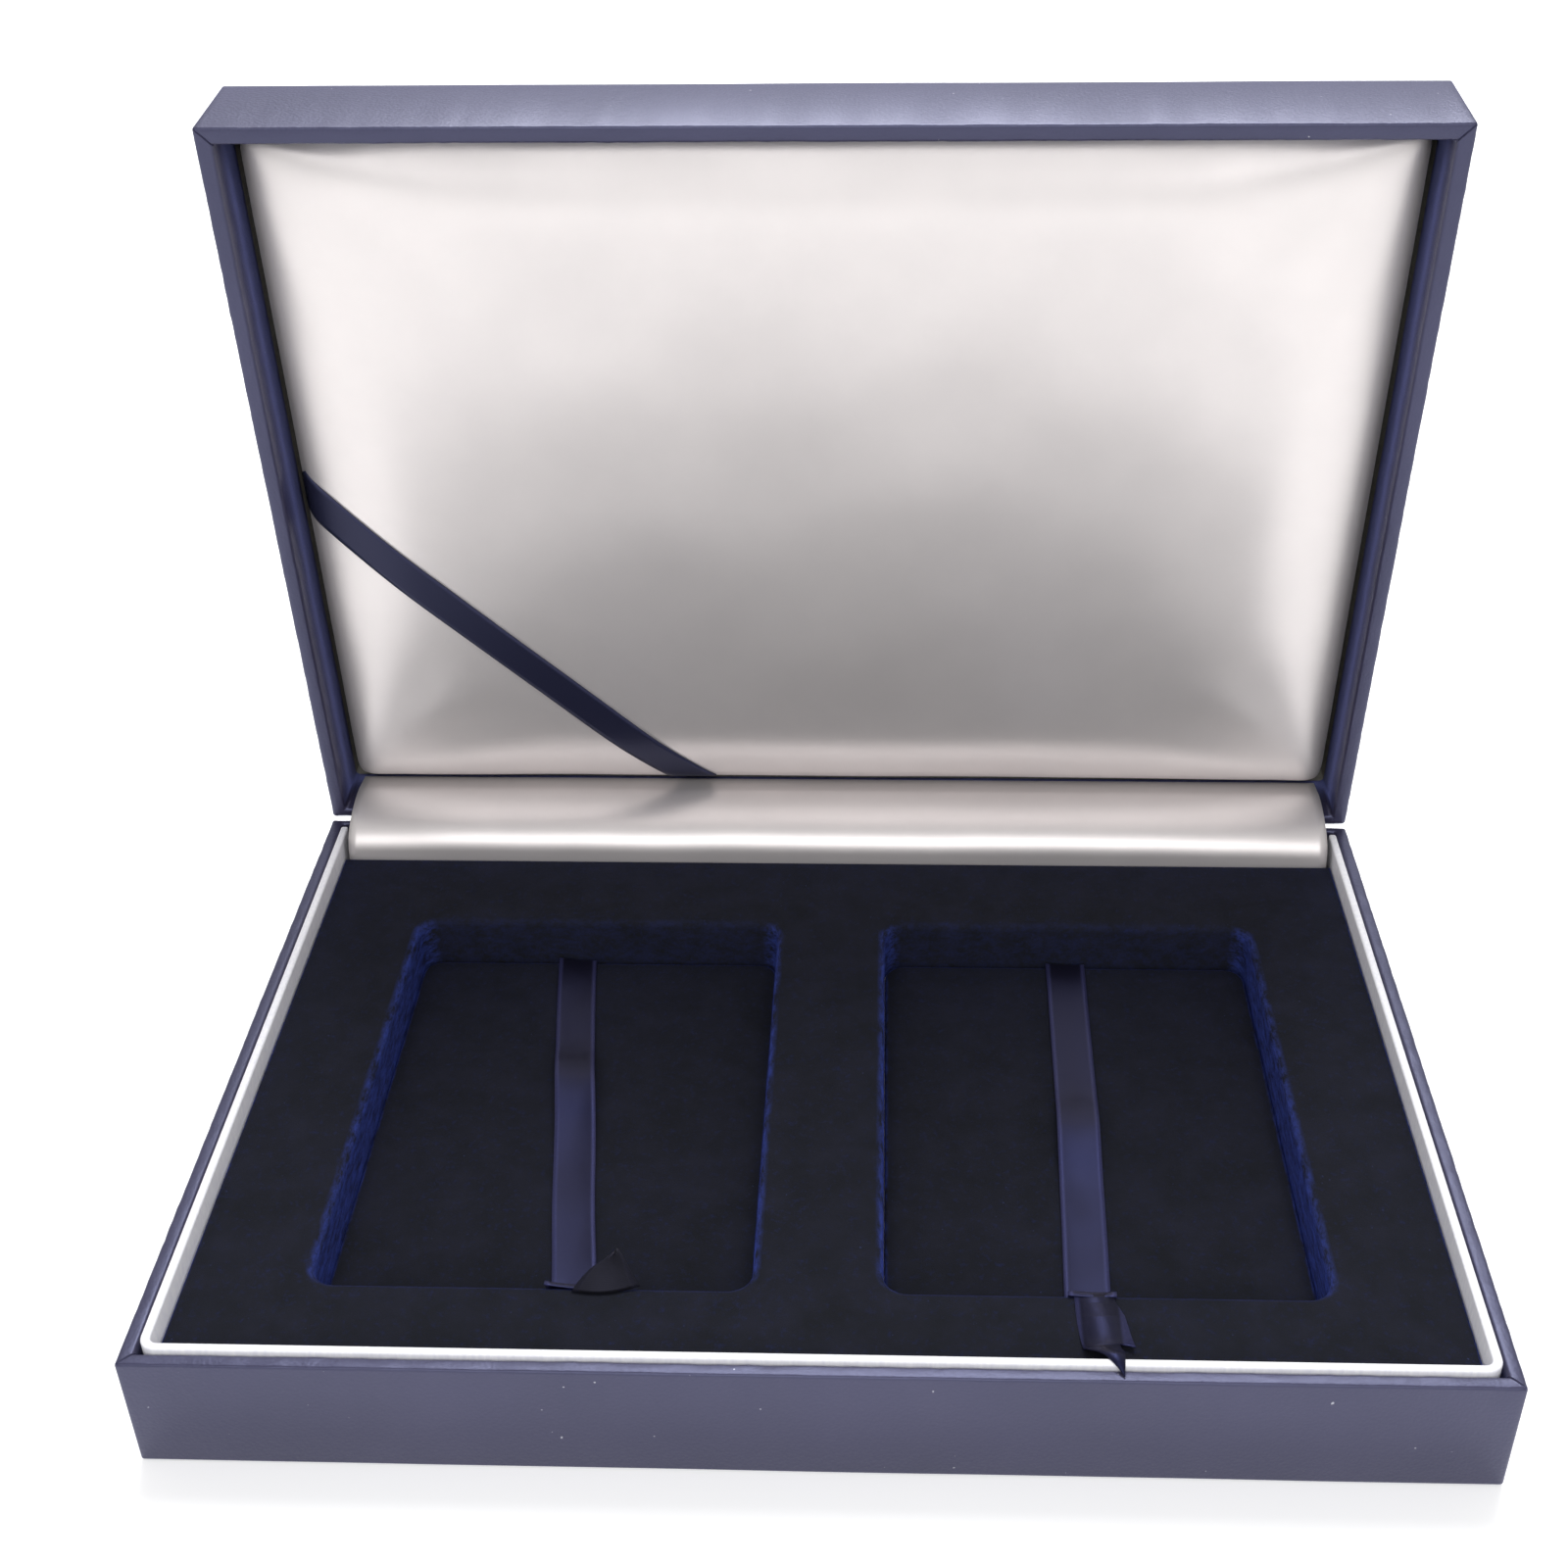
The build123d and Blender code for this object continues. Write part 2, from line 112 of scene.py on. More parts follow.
# The velvet insert
RECESS_CENTRE = 41.2 * MM
RECESS_HALF = 31.75 * MM
RECESS_LOW = -HALF_DEPTH + 18.7 * MM
RECESS_HIGH = RECESS_LOW + 86 * MM
RECESS_CORNER = 3.5 * MM
VELVET_EDGE = 1.4 * MM
PLATFORM_EDGE = 0.5 * MM
PLATFORM_SPREAD = 0.2 * MM
COLLAR_THICK = 1.35 * MM
COLLAR_CORNER = 2.5 * MM
COLLAR_EDGE = 0.4 * MM
FLOOR_PAD_GAP = 0.15 * MM
FLOOR_PAD_EDGE = 0.6 * MM
CUT_BEYOND = 5 * MM
SHARP_ANGLE = math.radians(25)

# The ribbons
RIBBON_WIDTH = 6.8 * MM
RIBBON_THICK = 0.2 * MM
RIBBON_CURL = 0.22 * MM
RIBBON_RIPPLE = 0.10 * MM
RIBBON_RIPPLE_LENGTH = 9 * MM
TAIL_CUT_STEP = 0.35 * MM
TAIL_RIPPLE = 0.25 * MM
TAIL_RIPPLE_LENGTH = 4 * MM
TAIL_TILT = 0.03
CERTIFICATE_WIDTH = 6.2 * MM
CERTIFICATE_THICK = 0.22 * MM
CERTIFICATE_LIFT = 0.2 * MM
CERTIFICATE_TUCK = 0.3 * MM
ROUTE_STEPS = 10

# The padded panel
PAD_SEAT = -15.5 * MM
PAD_EDGE = -9.5 * MM
PAD_SHOULDER = -6.6 * MM
PAD_SWELL = 2.0 * MM
PAD_ROUND = 3.2 * MM
PAD_VOXEL = 1.8 * MM
PAD_PRESSURE = 2
PAD_HALF_WIDTH = 91.4 * MM
PAD_HALF_DEPTH = 62.85 * MM
PAD_MIDDLE = -0.3 * MM
PAD_UNEVEN = 0.35 * MM
PAD_UNEVEN_LENGTH = 22 * MM
PAD_SMOOTHINGS = 6
SWELL_FRAMES = 20

# Places of the loose ribbon ends, the certificate ribbon, the springs and the hinge strip,
# in millimetres.
# The right end's outline and heights are measured from the front face.
RIGHT_TAIL = [
    (36.3, 18.3), (41.9, 18.3), (42.0, 16.8), (43.1, 14.2), (44.0, 8.0), (41.9, 8.8),
    (42.0, 4.5), (41.7, 0.8), (39.4, 4.2), (36.8, 7.8), (36.4, 13.0),
]
RIGHT_TAIL_HEIGHTS = [
    (20.0, 17.1), (17.0, 17.1), (12.0, 17.1), (9.2, 17.3), (7.2, 18.3), (5.0, 20.4),
    (3.6, 20.75), (2.4, 20.6), (0.8, 20.2),
]
LEFT_FOLD_FOOT = (-30.1, -48.6, 17.0)
LEFT_FOLD_REACH = (0.0, 3.9, 3.6)
LEFT_FOLD_WIDTH = 9.6 * MM
CERTIFICATE_START = (-92.3, -1.8, 0)
CERTIFICATE_END = (-24.6, 62.6, 0)
SPRING_ROUTE = [
    (63.9, 10.5), (63.9, 12.5), (63.9, 14.5), (62.7, 17.3), (61.9, 20.4), (63.4, 22.2),
    (66.0, 22.8), (68.0, 22.9), (70.0, 23.1), (72.5, 23.3),
]
SPRING_WIDTH = 8.0 * MM
SPRING_THICK = 0.4 * MM
STRIP_ROUTE = [
    (57.1, 8.0), (57.1, 13.0), (57.1, 16.6), (57.5, 20.2), (60.4, 22.7), (65.0, 23.9),
    (69.3, 24.2), (72.0, 23.8), (75.0, 23.5),
]
STRIP_THICK = 0.35 * MM
STRIP_ROOT = 9 * MM
STRIP_FREE = 15.5 * MM

# How bright the paper and the room light look
PAPER_GLOW = 0.3
ROOM_LIGHT = 0.5

# The camera, fitted to the box's corners in the photograph
CAMERA_PLACE = Vector((8.342, -252.262, 235.993)) * MM
CAMERA_AIM = Vector((-0.0347, 0.8316, -0.5543))
CAMERA_ROLL = math.radians(-0.89)
CAMERA_LENS = 47.105
CAMERA_SHIFT = (-0.01546, 0.01364)

# Each tray is modelled with its rim at z = 0 and its floor below. The base tray is
# lifted to its height. The lid tray is turned over, set down on it and swung open.
BASE_PLACE = Matrix.Translation((0, 0, BASE_HEIGHT))
LID_PLACE = (
    Matrix.Translation(PIVOT)
    @ Matrix.Rotation(-OPEN_ANGLE, 4, "X")
    @ Matrix.Translation(-PIVOT)
    @ Matrix.Translation((0, 0, BASE_HEIGHT + RIM_GAP))
    @ Matrix.Scale(-1, 4, Vector((0, 0, 1)))
)


# Materials


class Finish:
    """A node material, with short calls for its nodes and links."""

    def __init__(self, name, **sockets):
        self.material = bpy.data.materials.new(name)
        self.material.use_nodes = True
        self.tree = self.material.node_tree
        self.shader = self.tree.nodes["Principled BSDF"]
        for socket, value in sockets.items():
            self.shader.inputs[socket.replace("_", " ")].default_value = value

    def join(self, value, socket):
        """Link a node's output to a socket, or set the socket's value."""
        if isinstance(value, bpy.types.NodeSocket):
            self.tree.links.new(value, socket)
        else:
            socket.default_value = value

    def node(self, kind, inputs=None, **settings):
        made = self.tree.nodes.new(kind)
        for setting, value in settings.items():
            setattr(made, setting, value)
        for socket, value in (inputs or {}).items():
            self.join(value, made.inputs[socket])
        return made

    def place(self, scale=(1, 1, 1)):
        """Object coordinates in millimetres, stretched by a scale."""
        coords = self.node("ShaderNodeTexCoord").outputs["Object"]
        inputs = {"Vector": coords, "Scale": tuple(s / MM for s in scale)}
        return self.node("ShaderNodeMapping", inputs).outputs["Vector"]

    def along(self, scale=(1, 1, 1)):
        """The piece's own UV map, in millimetres along the cloth."""
        coords = self.node("ShaderNodeUVMap").outputs["UV"]
        inputs = {"Vector": coords, "Scale": scale}
        return self.node("ShaderNodeMapping", inputs).outputs["Vector"]

    def cloud(self, vector, scale, detail=2.0, roughness=0.5):
        inputs = {"Vector": vector, "Scale": scale, "Detail": detail, "Roughness": roughness}
        return self.node("ShaderNodeTexNoise", inputs).outputs["Fac"]

    def ramp(self, factor, *stops):
        """A colour ramp of (place, colour) stops."""
        made = self.node("ShaderNodeValToRGB", {"Fac": factor})
        elements = made.color_ramp.elements
        while len(elements) < len(stops):
            elements.new(0.5)
        for element, (place, colour) in zip(elements, stops):
            element.position = place
            element.color = (*colour, 1)
        return made.outputs["Color"]

    def level(self, factor, low, high, dark=0.0, light=1.0):
        """A grey ramp between two places."""
        return self.ramp(factor, (low, (dark,) * 3), (high, (light,) * 3))

    def math(self, operation, first, second=0.0):
        return self.node("ShaderNodeMath", {0: first, 1: second}, operation=operation).outputs[0]

    def mix(self, factor, first, second):
        colours = [c if isinstance(c, bpy.types.NodeSocket) else (*c, 1) for c in (first, second)]
        inputs = {0: factor, 6: colours[0], 7: colours[1]}
        return self.node("ShaderNodeMix", inputs, data_type="RGBA").outputs[2]

    def feed(self, socket, value):
        self.join(value, self.shader.inputs[socket])

    def bump(self, height, strength, distance, under=None):
        inputs = {"Height": height, "Strength": strength, "Distance": distance}
        if under is not None:
            inputs["Normal"] = under
        return self.node("ShaderNodeBump", inputs).outputs["Normal"]


def leatherette():
    """Embossed book cloth: fine pebble, a purple-navy cast and a few pale specks."""
    f = Finish(
        "leatherette", Specular_IOR_Level=0.95, Specular_Tint=(0.55, 0.60, 1.0, 1),
        Sheen_Weight=0.3, Sheen_Roughness=0.3, Sheen_Tint=(0.35, 0.4, 1.0, 1),
        Coat_Weight=0.12, Coat_Roughness=0.25,
    )
    at = f.place()
    patch = f.cloud(at, 0.045, 3.0)
    tone = f.ramp(patch, (0.3, (0.023, 0.020, 0.040)), (0.7, (0.031, 0.027, 0.053)))
    inputs = {"Vector": at, "Scale": 1.9, "Smoothness": 0.6}
    pebble = f.node("ShaderNodeTexVoronoi", inputs, feature="SMOOTH_F1").outputs["Distance"]
    crease = f.cloud(at, 3.1, 3.0, 0.6)
    dust = f.level(f.cloud(at, 0.9, 1.0), 0.80, 0.835)
    f.feed("Base Color", f.mix(dust, tone, (0.42, 0.42, 0.45)))
    f.feed("Roughness", f.level(crease, 0.3, 0.8, 0.36, 0.5))
    grain = f.bump(crease, 0.22, 0.05 * MM)
    f.feed("Normal", f.bump(pebble, 0.45, 0.06 * MM, grain))
    return f.material


def white_card():
    """Smooth white card with a faint fibre."""
    f = Finish("white_card", Roughness=0.55, Specular_IOR_Level=0.35)
    fibre = f.cloud(f.place((1, 1, 0.25)), 1.6, 3.0)
    f.feed("Base Color", f.ramp(fibre, (0.3, (0.80, 0.80, 0.86)), (0.7, (0.90, 0.90, 0.93))))
    f.feed("Normal", f.bump(fibre, 0.15, 0.04 * MM))
    return f.material


def velvet():
    """Short navy pile: almost black from above, with painted sheen, a bright blue base colour on
    faces that turn sideways and on rolled edges.
    """
    f = Finish(
        "velvet", Roughness=0.95, Specular_IOR_Level=0.1,
        Sheen_Weight=0.32, Sheen_Roughness=0.25, Sheen_Tint=(0.05, 0.09, 0.55, 1),
    )
    at = f.place()
    nap = f.cloud(at, 0.16, 4.0, 0.6)
    pile = f.cloud(at, 7.5, 2.0, 0.7)
    tone = f.ramp(nap, (0.3, (0.0095, 0.0105, 0.0145)), (0.7, (0.013, 0.014, 0.023)))
    flecks = f.level(f.cloud(at, 1.1, 4.0, 0.7), 0.55, 0.75, 0.0, 0.5)
    tone = f.mix(flecks, tone, (0.014, 0.020, 0.075))
    # Painted sheen: faces turned sideways, and a little the rolled front and back edges, get a
    # bright blue base colour in noisy patches, standing in for light caught along the nap.
    normal = f.node("ShaderNodeNewGeometry").outputs["Normal"]
    sides = f.node("ShaderNodeSeparateXYZ", {"Vector": normal}).outputs
    sideways = f.level(f.math("ABSOLUTE", sides["X"]), 0.12, 0.75)
    rolled = f.level(f.math("ABSOLUTE", sides["Y"]), 0.15, 0.7, 0.0, 0.12)
    sheen_patches = f.level(f.cloud(f.place((1, 0.45, 1.6)), 0.55, 5.0, 0.8), 0.40, 0.62)
    painted_sheen_mask = f.math("MULTIPLY", f.math("MAXIMUM", sideways, rolled), sheen_patches)
    painted_sheen_tone = f.mix(painted_sheen_mask, tone, (0.030, 0.048, 0.230))
    lint = f.level(f.cloud(at, 1.7, 1.0), 0.79, 0.83)
    f.feed("Base Color", f.mix(lint, painted_sheen_tone, (0.03, 0.04, 0.11)))
    f.feed("Normal", f.bump(pile, 0.7, 0.12 * MM, f.bump(nap, 0.25, 0.4 * MM)))
    return f.material


def satin():
    """Silver satin: a fine steep twill with a soft sheen."""
    f = Finish(
        "satin", Metallic=0.62, Specular_IOR_Level=0.6,
        Sheen_Weight=0.2, Sheen_Roughness=0.35, Sheen_Tint=(0.95, 0.93, 0.95, 1),
    )
    slub = f.cloud(f.along(), 0.09, 3.0)
    f.feed("Base Color", f.ramp(slub, (0.2, (0.745, 0.705, 0.70)), (0.8, (0.785, 0.742, 0.735))))
    inputs = {"Vector": f.along((1.0, 1.7, 1.0)), "Scale": 1.15, "Distortion": 0.7, "Detail": 1.0}
    bands = {"wave_type": "BANDS", "bands_direction": "DIAGONAL"}
    twill = f.node("ShaderNodeTexWave", inputs, **bands).outputs["Fac"]
    thread = f.cloud(f.along((0.6, 9.0, 1.0)), 1.0, 2.0)
    f.feed("Roughness", f.level(thread, 0.2, 0.8, 0.36, 0.44))
    f.feed("Normal", f.bump(twill, 0.16, 0.03 * MM, f.bump(thread, 0.14, 0.03 * MM)))
    return f.material


def ribbon_satin(name, width, body, edge, glint):
    """Woven satin ribbon: cross threads, and a paler selvedge along both edges."""
    f = Finish(
        name, Roughness=0.36, Specular_IOR_Level=0.5, Anisotropic=0.4,
        Specular_Tint=(*glint, 1),
    )
    uv = f.node("ShaderNodeUVMap").outputs["UV"]
    across = f.node("ShaderNodeSeparateXYZ", {"Vector": uv}).outputs["X"]
    half = width / MM / 2
    reach = f.math("DIVIDE", f.math("ABSOLUTE", f.math("SUBTRACT", across, half)), half)
    selvedge = f.level(reach, 0.74, 0.86)
    thread = f.cloud(f.along((9.0, 2.2, 1.0)), 1.0, 2.0)
    inputs = {"Vector": uv, "Scale": 1.6, "Distortion": 0.5}
    bands = {"wave_type": "BANDS", "bands_direction": "Y"}
    weft = f.node("ShaderNodeTexWave", inputs, **bands).outputs["Fac"]
    broken = f.math("MULTIPLY", selvedge, f.level(thread, 0.25, 0.7, 0.35, 1.0))
    f.feed("Base Color", f.mix(broken, body, edge))
    f.feed("Normal", f.bump(weft, 0.22, 0.04 * MM, f.bump(thread, 0.25, 0.04 * MM)))
    return f.material


def steel():
    """Plated sheet steel with fine drawing lines."""
    f = Finish("steel", Metallic=1.0, Base_Color=(0.52, 0.52, 0.53, 1), Anisotropic=0.3)
    lines = f.cloud(f.place((0.4, 9, 9)), 1.0, 2.0)
    f.feed("Roughness", f.level(lines, 0.2, 0.8, 0.28, 0.46))
    f.feed("Normal", f.bump(lines, 0.1, 0.02 * MM))
    return f.material


def grey_board():
    """Bookbinding board, flecked with fibre."""
    f = Finish("grey_board", Roughness=0.9)
    fibre = f.cloud(f.place(), 1.2, 4.0)
    f.feed("Base Color", f.ramp(fibre, (0.3, (0.22, 0.21, 0.19)), (0.7, (0.30, 0.29, 0.26))))
    f.feed("Normal", f.bump(fibre, 0.3, 0.05 * MM))
    return f.material


def lining_paper():
    """Dark lining paper with a faint linen emboss."""
    f = Finish("lining_paper", Roughness=0.8)
    tooth = f.cloud(f.place(), 2.6, 2.0)
    f.feed("Base Color", f.ramp(tooth, (0.3, (0.012, 0.012, 0.02)), (0.7, (0.02, 0.02, 0.032))))
    f.feed("Normal", f.bump(tooth, 0.3, 0.04 * MM))
    return f.material


def open_foam():
    """Open-celled foam."""
    f = Finish("open_foam", Roughness=1.0)
    inputs = {"Vector": f.place(), "Scale": 1.2}
    cells = f.node("ShaderNodeTexVoronoi", inputs).outputs["Distance"]
    f.feed("Base Color", f.ramp(cells, (0.1, (0.35, 0.34, 0.30)), (0.6, (0.60, 0.59, 0.54))))
    f.feed("Normal", f.bump(cells, 0.5, 0.2 * MM))
    return f.material


def backdrop():
    """Pale paper that the camera sees lifted to white, with the object's shadow on it."""
    f = Finish("backdrop", Roughness=0.9, Specular_IOR_Level=0.1)
    f.feed("Base Color", f.level(f.cloud(f.place(), 0.01), 0.3, 0.7, 0.88, 0.90))
    path = f.node("ShaderNodeLightPath").outputs
    seen = f.math("MAXIMUM", path["Is Camera Ray"], path["Is Glossy Ray"])
    f.shader.inputs["Emission Color"].default_value = (1, 1, 1, 1)
    f.feed("Emission Strength", f.math("MULTIPLY", seen, PAPER_GLOW))
    return f.material


# Making and finishing meshes


def settle(bm, place):
    """Move a bmesh to its place, its faces still outward where the place mirrors it."""
    bmesh.ops.transform(bm, matrix=place, verts=bm.verts)
    if place.determinant() < 0:
        bmesh.ops.reverse_faces(bm, faces=bm.faces)


def finished(name, bm, material, place=None, smooth=30):
    """An object at the origin from a bmesh, its place in its mesh."""
    if place is not None:
        settle(bm, place)
    mesh = bpy.data.meshes.new(name)
    bm.to_mesh(mesh)
    bm.free()
    obj = bpy.data.objects.new(name, mesh)
    bpy.context.scene.collection.objects.link(obj)
    mesh.materials.append(material)
    mesh.shade_smooth()
    mesh.set_sharp_from_angle(angle=math.radians(smooth))
    return obj


def add(obj, kind, **settings):
    """Put a modifier on an object."""
    modifier = obj.modifiers.new(kind.lower(), kind)
    for setting, value in settings.items():
        setattr(modifier, setting, value)
    return modifier


def bake(obj):
    """Bake an object's modifiers into its mesh."""
    bpy.context.view_layer.update()
    graph = bpy.context.evaluated_depsgraph_get()
    mesh = bpy.data.meshes.new_from_object(obj.evaluated_get(graph))
    obj.modifiers.clear()
    obj.data = mesh


def thicken(obj, thickness, side, even=False):
    """Give a sheet its thickness: outward, inward or on both sides of its middle."""
    add(obj, "SOLIDIFY", thickness=thickness, offset=side, use_even_offset=even)
    bake(obj)


def cut_away(obj, cutters):
    """Subtract bmesh blocks from an object."""
    for cutter in cutters:
        tool = finished("cutter", cutter, obj.data.materials[0])
        add(obj, "BOOLEAN", object=tool, operation="DIFFERENCE", solver="EXACT")
        bake(obj)
        bpy.data.objects.remove(tool)


def block(low, high):
    """A bmesh box between two corners."""
    bm = bmesh.new()
    bmesh.ops.create_cube(bm, size=1)
    low = Vector(low)
    high = Vector(high)
    bmesh.ops.scale(bm, vec=high - low, verts=bm.verts)
    bmesh.ops.translate(bm, vec=(low + high) / 2, verts=bm.verts)
    return bm


def upright(edge):
    """Whether an edge stands up along Z."""
    return (edge.verts[0].co - edge.verts[1].co).xy.length < MM / 10


def soften(bm, edges, size, segments):
    """Round some edges off."""
    bmesh.ops.bevel(
        bm, geom=edges, offset=size, affect="EDGES", segments=segments, profile=0.5, material=-1,
    )


def sharp_edges(bm):
    """The edges where two faces meet at more than the sharp angle."""
    bm.normal_update()
    return [e for e in bm.edges if e.is_manifold and e.calc_face_angle() > SHARP_ANGLE]


def facing(bm, direction):
    """The faces that look along a direction."""
    bm.normal_update()
    return [f for f in bm.faces if f.normal.dot(Vector(direction)) > 0.9]


def ride_for(obj, body, slot, *nodes):
    """The piece rides on a body and stands for CAD nodes, which are hidden. The slot is not used.
    """
    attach(obj, body)
    if nodes:
        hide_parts(*nodes)


# The leatherette halves


def hinge_cutter(x):
    """The room that one hinge's knuckles turn in, above the rim and out to the back."""
    return block(
        (x - HINGE_SLOT / 2, PIVOT.y - KNUCKLE_ROOM, RIM_GAP / 2 - KNUCKLE_ROOM),
        (x + HINGE_SLOT / 2, HALF_DEPTH + 2 * MM, 2 * MM),
    )


def slice_across(bm, faces, spot, normal):
    """Cut some faces by a plane."""
    edges = dict.fromkeys(e for f in faces for e in f.edges)
    verts = dict.fromkeys(v for f in faces for v in f.verts)
    bmesh.ops.bisect_plane(
        bm, geom=[*verts, *edges, *faces], plane_co=spot, plane_no=normal,
    )


def by_mitre(place, corner):
    """Whether a place is on the rim near a front corner."""
    return (place - corner).xy.length < MITRE_REACH and place.z > MITRE_LOW


def groove_mitres(bm):
    """Press a groove where the wrap is folded at each front corner of the rim."""
    for side in (-1, 1):
        corner = Vector((side * HALF_WIDTH, -HALF_DEPTH, 0))
        for offset in (-MITRE_WIDTH, 0, MITRE_WIDTH):
            near = [f for f in bm.faces if by_mitre(f.calc_center_median(), corner)]
            slice_across(bm, near, corner + Vector((offset, 0, 0)), (side, 1, 0))
        for vert in bm.verts:
            away = vert.co - corner
            off_fold = abs(side * away.x + away.y)
            if by_mitre(vert.co, corner) and off_fold < MITRE_HALF_WIDTH:
                vert.co.z -= MITRE_DEPTH


def gather(bm):
    """Cut the wrap finely along its rim and let it ripple as glued cloth does."""
    for axis, half in ((0, HALF_WIDTH), (1, HALF_DEPTH)):
        cuts = int(2 * half / GATHER_STEP)
        for index in range(1, cuts):
            spot = [0, 0, 0]
            spot[axis] = -half + index * 2 * half / cuts
            side = [0, 0, 0]
            side[axis] = 1
            slice_across(bm, bm.faces[:], spot, side)
    bm.normal_update()
    for vert in bm.verts:
        near_rim = 1 - min(-vert.co.z / RIPPLE_DOWN, 1)
        ripple = noise.noise(vert.co / RIPPLE_LENGTH) * near_rim * RIPPLE
        wave = noise.noise(vert.co / WAVE_LENGTH) * WAVE
        vert.co -= vert.normal * (RIPPLE + WAVE + ripple + wave)


def wrapped_half(name, height, wall, turn_in, open_below, place, material):
    """One sheet of leatherette round the outside, over the rim and down the inside of a tray."""
    bm = block((-HALF_WIDTH, -HALF_DEPTH, -height), (HALF_WIDTH, HALF_DEPTH, 0))
    well = facing(bm, (0, 0, 1))
    bmesh.ops.inset_region(bm, faces=well, thickness=wall, use_even_offset=True)
    bmesh.ops.extrude_discrete_faces(bm, faces=well)
    well = [f for f in facing(bm, (0, 0, 1)) if f.calc_center_median().xy.length < MM]
    bmesh.ops.translate(bm, vec=(0, 0, -turn_in), verts=well[0].verts)
    bmesh.ops.delete(bm, geom=well, context="FACES_ONLY")
    if open_below:
        under = facing(bm, (0, 0, -1))
        bmesh.ops.inset_region(bm, faces=under, thickness=UNDERSIDE_MARGIN, use_even_offset=True)
        bmesh.ops.delete(bm, geom=under, context="FACES_ONLY")

    # The back rim falls away from the hinge line, so that the open lid comes to rest on it.
    cut = bmesh.ops.bisect_plane(
        bm, geom=bm.verts[:] + bm.edges[:] + bm.faces[:],
        plane_co=(0, PIVOT.y, 0), plane_no=(0, 1, 1), clear_outer=True,
    )
    loop = [e for e in cut["geom_cut"] if isinstance(e, bmesh.types.BMEdge)]
    bmesh.ops.contextual_create(bm, geom=loop)
    bmesh.ops.recalc_face_normals(bm, faces=bm.faces)
    soften(bm, sharp_edges(bm), EDGE_ROUND, 4)
    gather(bm)
    groove_mitres(bm)
    bmesh.ops.remove_doubles(bm, verts=bm.verts, dist=MERGE)
    bmesh.ops.dissolve_degenerate(bm, edges=bm.edges, dist=MERGE / 2)

    obj = finished(name, bm, material, place)
    thicken(obj, WRAP, -1, even=True)
    cutters = [hinge_cutter(side * HINGE_SPREAD / 2) for side in (-1, 1)]
    for cutter in cutters:
        settle(cutter, place)
    cut_away(obj, cutters)
    return obj


# The card collar


def collar(material):
    """One strip of card bent round the two front corners, open at the back."""
    bm = block(collar_low, collar_high)
    front = [e for e in bm.edges if upright(e) and e.verts[0].co.y < 0]
    soften(bm, front, COLLAR_CORNER, 8)
    ends = facing(bm, (0, 0, 1)) + facing(bm, (0, 0, -1)) + facing(bm, (0, 1, 0))
    bmesh.ops.delete(bm, geom=ends, context="FACES_ONLY")
    obj = finished("white_collar", bm, material)
    add(obj, "SOLIDIFY", thickness=COLLAR_THICK, offset=-1, use_even_offset=True)
    add(obj, "BEVEL", width=COLLAR_EDGE, segments=3, limit_method="ANGLE", profile=0.5)
    bake(obj)
    obj.data.shade_smooth()
    obj.data.set_sharp_from_angle(angle=math.radians(40))
    return obj


# The velvet


def recess_cutter(side):
    """One slab recess with its rounded corners."""
    middle = side * RECESS_CENTRE
    bm = block(
        (middle - RECESS_HALF, RECESS_LOW, RECESS_FLOOR - CUT_BEYOND),
        (middle + RECESS_HALF, RECESS_HIGH, VELVET_TOP + CUT_BEYOND),
    )
    soften(bm, [e for e in bm.edges if upright(e)], RECESS_CORNER, 8)
    return bm


def platform(material):
    """The velvet-covered platform with its two windows, every edge rolled over softly."""
    spread = Vector((PLATFORM_SPREAD, PLATFORM_SPREAD, 0))
    bm = block(velvet_low - spread, velvet_high + spread.xzz)
    obj = finished("velvet_platform", bm, material)
    cut_away(obj, [recess_cutter(side) for side in (-1, 1)])
    bm = bmesh.new()
    bm.from_mesh(obj.data)
    bmesh.ops.remove_doubles(bm, verts=bm.verts, dist=MM / 100)
    bmesh.ops.dissolve_limit(
        bm, angle_limit=math.radians(1), verts=bm.verts, edges=bm.edges, delimit={"NORMAL"},
    )

    def in_window(edge):
        middle = (edge.verts[0].co + edge.verts[1].co) / 2
        inside = abs(abs(middle.x) - RECESS_CENTRE) < RECESS_HALF + MM
        return inside and RECESS_LOW - MM < middle.y < RECESS_HIGH + MM

    top = [
        e for e in sharp_edges(bm)
        if all(abs(v.co.z - VELVET_TOP) < MM / 10 for v in e.verts)
    ]
    rolled = [e for e in top if in_window(e)]
    plain = [e for e in top if not in_window(e)]
    soften(bm, rolled, VELVET_EDGE, 5)
    plain = [e for e in plain if e.is_valid]
    soften(bm, plain, PLATFORM_EDGE, 3)
    bm.to_mesh(obj.data)
    bm.free()
    obj.data.shade_smooth()
    obj.data.set_sharp_from_angle(angle=math.radians(40))
    return obj


def floor_pad(name, node, material):
    """A velvet-covered card dropped into one recess."""
    low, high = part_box(node)
    bm = block(low, high)
    soften(bm, [e for e in bm.edges if upright(e)], RECESS_CORNER - FLOOR_PAD_GAP, 6)
    top = [e for e in sharp_edges(bm) if all(v.co.z > high.z - MM / 10 for v in e.verts)]
    soften(bm, top, FLOOR_PAD_EDGE, 3)
    return finished(name, bm, material, smooth=40)


# Strips that follow a line


def smooth_line(corners):
    """Points along the smooth line that a strip follows, from the corners of its route."""
    data = bpy.data.curves.new("route", "CURVE")
    data.dimensions = "3D"
    data.resolution_u = ROUTE_STEPS
    spline = data.splines.new("NURBS")
    spline.points.add(len(corners) - 1)
    for point, corner in zip(spline.points, corners):
        point.co = (*corner, 1)
    spline.order_u = 3
    spline.use_endpoint_u = True
    route = bpy.data.objects.new("route", data)
    mesh = bpy.data.meshes.new_from_object(route)
    line = [v.co.copy() for v in mesh.vertices]
    bpy.data.objects.remove(route)
    return line


